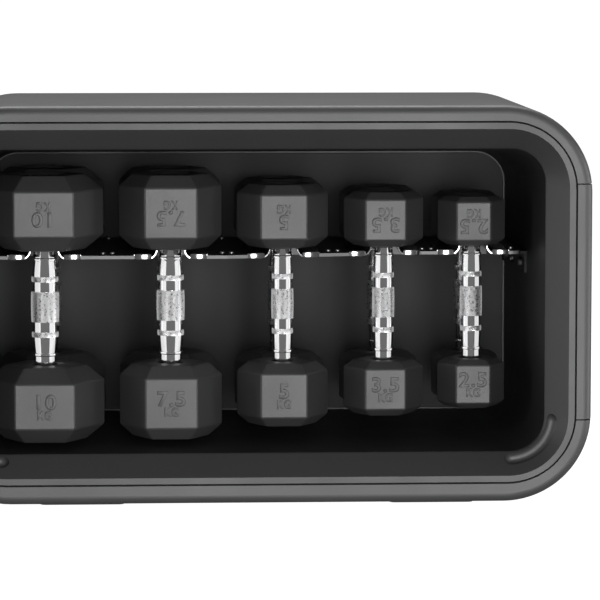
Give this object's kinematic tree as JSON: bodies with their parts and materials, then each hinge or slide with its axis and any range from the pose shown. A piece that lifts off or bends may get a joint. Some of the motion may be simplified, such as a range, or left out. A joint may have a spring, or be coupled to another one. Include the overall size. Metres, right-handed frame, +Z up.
{
  "type": "dumbbell rack",
  "caption": "Closed moulded cabinet, open at the front, whose steel shelf holds pairs of rubber hex dumbbells standing on end in open-fronted slots.",
  "frame": {"origin": "on the floor under the middle of the cabinet", "axes": "+X along the length towards the small weights, +Y from the open front to the back, +Z up"},
  "size_m": [0.701, 0.36, 0.4194],
  "materials": {
    "cover_plastic": "fine-grained dark grey moulding",
    "rear_plastic": "fine-grained dark grey moulding",
    "liner_plastic": "near-black satin moulding",
    "panel_plastic": "satin charcoal panel",
    "seal_rubber": "black rubber strip",
    "foot_rubber": "black rubber pad",
    "frame_steel": "black painted square tube",
    "shelf_paint": "black powder coat",
    "saddle_steel": "bright formed steel",
    "screw_steel": "bright zinc",
    "head_rubber": "matt black rubber",
    "core_iron": "raw casting",
    "handle_chrome": "polished chrome with a knurled grip"
  },
  "bodies": {
    "cabinet": {"top_cover": "cover_plastic", "base_cover": "cover_plastic", "side_panel_right": "cover_plastic", "side_panel_left": "cover_plastic", "rear_cover": "rear_plastic", "tub_liner": "liner_plastic", "inner_back_panel": "panel_plastic", "front_seal": "seal_rubber", "frame_front_hoop": "frame_steel", "frame_rear_hoop": "frame_steel", "frame_rails": "frame_steel", "cover_screws": "screw_steel", "shelf_plate": "shelf_paint", "slot_saddles": "saddle_steel", "shelf_ribs": "shelf_paint", "shelf_brackets": "shelf_paint", "shelf_bolts": "screw_steel", "bolt_sleeves": "screw_steel", "shelf_screws": "screw_steel", "feet": "foot_rubber"},
    "dumbbell_10_front": {"dumbbell_10_front_handle": "handle_chrome", "dumbbell_10_front_upper_head": "head_rubber", "dumbbell_10_front_lower_head": "head_rubber", "dumbbell_10_front_cores": "core_iron"},
    "dumbbell_10_rear": {"dumbbell_10_rear_handle": "handle_chrome", "dumbbell_10_rear_upper_head": "head_rubber", "dumbbell_10_rear_lower_head": "head_rubber", "dumbbell_10_rear_cores": "core_iron"},
    "dumbbell_7_5_front": {"dumbbell_7_5_front_handle": "handle_chrome", "dumbbell_7_5_front_upper_head": "head_rubber", "dumbbell_7_5_front_lower_head": "head_rubber", "dumbbell_7_5_front_cores": "core_iron"},
    "dumbbell_7_5_rear": {"dumbbell_7_5_rear_handle": "handle_chrome", "dumbbell_7_5_rear_upper_head": "head_rubber", "dumbbell_7_5_rear_lower_head": "head_rubber", "dumbbell_7_5_rear_cores": "core_iron"},
    "dumbbell_5_front": {"dumbbell_5_front_handle": "handle_chrome", "dumbbell_5_front_upper_head": "head_rubber", "dumbbell_5_front_lower_head": "head_rubber", "dumbbell_5_front_cores": "core_iron"},
    "dumbbell_5_rear": {"dumbbell_5_rear_handle": "handle_chrome", "dumbbell_5_rear_upper_head": "head_rubber", "dumbbell_5_rear_lower_head": "head_rubber", "dumbbell_5_rear_cores": "core_iron"},
    "dumbbell_3_5_front": {"dumbbell_3_5_front_handle": "handle_chrome", "dumbbell_3_5_front_upper_head": "head_rubber", "dumbbell_3_5_front_lower_head": "head_rubber", "dumbbell_3_5_front_cores": "core_iron"},
    "dumbbell_3_5_rear": {"dumbbell_3_5_rear_handle": "handle_chrome", "dumbbell_3_5_rear_upper_head": "head_rubber", "dumbbell_3_5_rear_lower_head": "head_rubber", "dumbbell_3_5_rear_cores": "core_iron"},
    "dumbbell_2_5_front": {"dumbbell_2_5_front_handle": "handle_chrome", "dumbbell_2_5_front_upper_head": "head_rubber", "dumbbell_2_5_front_lower_head": "head_rubber", "dumbbell_2_5_front_cores": "core_iron"},
    "dumbbell_2_5_rear": {"dumbbell_2_5_rear_handle": "handle_chrome", "dumbbell_2_5_rear_upper_head": "head_rubber", "dumbbell_2_5_rear_lower_head": "head_rubber", "dumbbell_2_5_rear_cores": "core_iron"}
  },
  "joints": [
    {"name": "dumbbell_10_front_slide", "type": "slide", "parent": "cabinet", "child": "dumbbell_10_front", "axis": [0, -1, 0], "range_m": [0, 0.34]},
    {"name": "dumbbell_10_rear_slide", "type": "slide", "parent": "cabinet", "child": "dumbbell_10_rear", "axis": [0, -1, 0], "range_m": [0, 0.34]},
    {"name": "dumbbell_7_5_front_slide", "type": "slide", "parent": "cabinet", "child": "dumbbell_7_5_front", "axis": [0, -1, 0], "range_m": [0, 0.34]},
    {"name": "dumbbell_7_5_rear_slide", "type": "slide", "parent": "cabinet", "child": "dumbbell_7_5_rear", "axis": [0, -1, 0], "range_m": [0, 0.34]},
    {"name": "dumbbell_5_front_slide", "type": "slide", "parent": "cabinet", "child": "dumbbell_5_front", "axis": [0, -1, 0], "range_m": [0, 0.34]},
    {"name": "dumbbell_5_rear_slide", "type": "slide", "parent": "cabinet", "child": "dumbbell_5_rear", "axis": [0, -1, 0], "range_m": [0, 0.34]},
    {"name": "dumbbell_3_5_front_slide", "type": "slide", "parent": "cabinet", "child": "dumbbell_3_5_front", "axis": [0, -1, 0], "range_m": [0, 0.34]},
    {"name": "dumbbell_3_5_rear_slide", "type": "slide", "parent": "cabinet", "child": "dumbbell_3_5_rear", "axis": [0, -1, 0], "range_m": [0, 0.34]},
    {"name": "dumbbell_2_5_front_slide", "type": "slide", "parent": "cabinet", "child": "dumbbell_2_5_front", "axis": [0, -1, 0], "range_m": [0, 0.34]},
    {"name": "dumbbell_2_5_rear_slide", "type": "slide", "parent": "cabinet", "child": "dumbbell_2_5_rear", "axis": [0, -1, 0], "range_m": [0, 0.34]}
  ],
  "couplings": [
    {"joint": "dumbbell_10_rear_slide", "follows": "dumbbell_10_front_slide", "ratio": 1},
    {"joint": "dumbbell_7_5_rear_slide", "follows": "dumbbell_7_5_front_slide", "ratio": 1},
    {"joint": "dumbbell_5_rear_slide", "follows": "dumbbell_5_front_slide", "ratio": 1},
    {"joint": "dumbbell_3_5_rear_slide", "follows": "dumbbell_3_5_front_slide", "ratio": 1},
    {"joint": "dumbbell_2_5_rear_slide", "follows": "dumbbell_2_5_front_slide", "ratio": 1}
  ]
}
